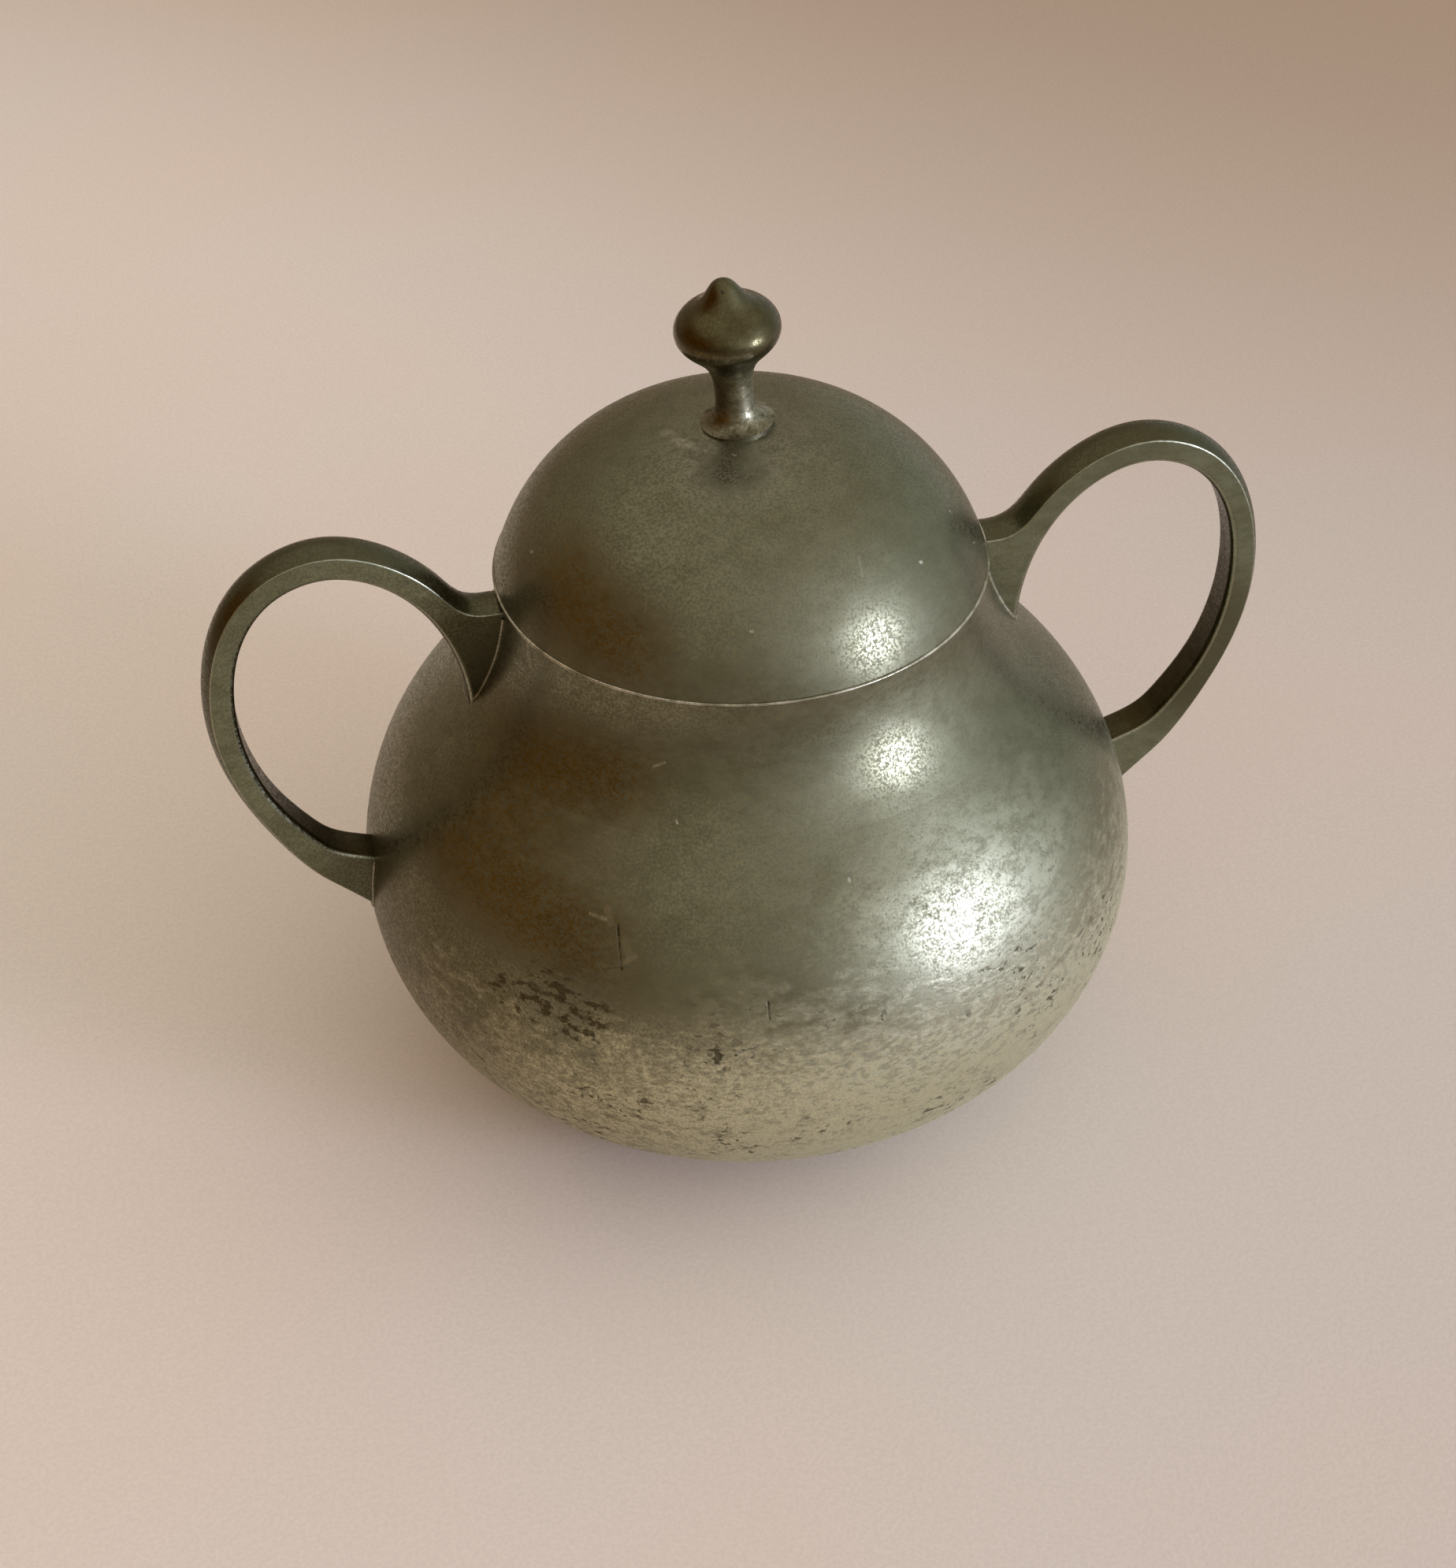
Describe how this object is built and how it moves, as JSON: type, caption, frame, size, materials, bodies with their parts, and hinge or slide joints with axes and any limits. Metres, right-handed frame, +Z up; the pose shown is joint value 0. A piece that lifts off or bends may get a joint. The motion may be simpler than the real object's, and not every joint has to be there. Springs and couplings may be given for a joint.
{
  "type": "covered two-handled pewter porringer",
  "caption": "Squat round pewter pot with a narrowed neck, strap handles either side and a lift-off domed lid with an onion finial.",
  "frame": {"origin": "centre of the pot's resting face", "axes": "+Z up along the pot's axis, +X through the right handle, +Y to the back"},
  "size_m": [0.1626, 0.12, 0.1356],
  "materials": {
    "body_pewter": "dull satin pewter with a dark olive patina",
    "handle_pewter": "dull satin pewter with a dark olive patina",
    "lid_pewter": "dull satin pewter with a dark olive patina",
    "finial_pewter": "dull satin pewter with a dark olive patina",
    "fastening_brass": "tarnished brass"
  },
  "bodies": {
    "pot": {"lower_bowl": "body_pewter", "base_disc": "body_pewter", "upper_bowl": "body_pewter", "handle_left": "handle_pewter", "handle_right": "handle_pewter"},
    "lid": {"lid_dome": "lid_pewter", "lid_bezel": "lid_pewter", "finial": "finial_pewter", "finial_stud": "fastening_brass", "finial_washer": "fastening_brass", "finial_nut": "fastening_brass"}
  },
  "joints": [
    {"name": "lid_lift", "type": "slide", "parent": "pot", "child": "lid", "axis": [0, 0, 1], "range_m": [0, 0.045]}
  ]
}
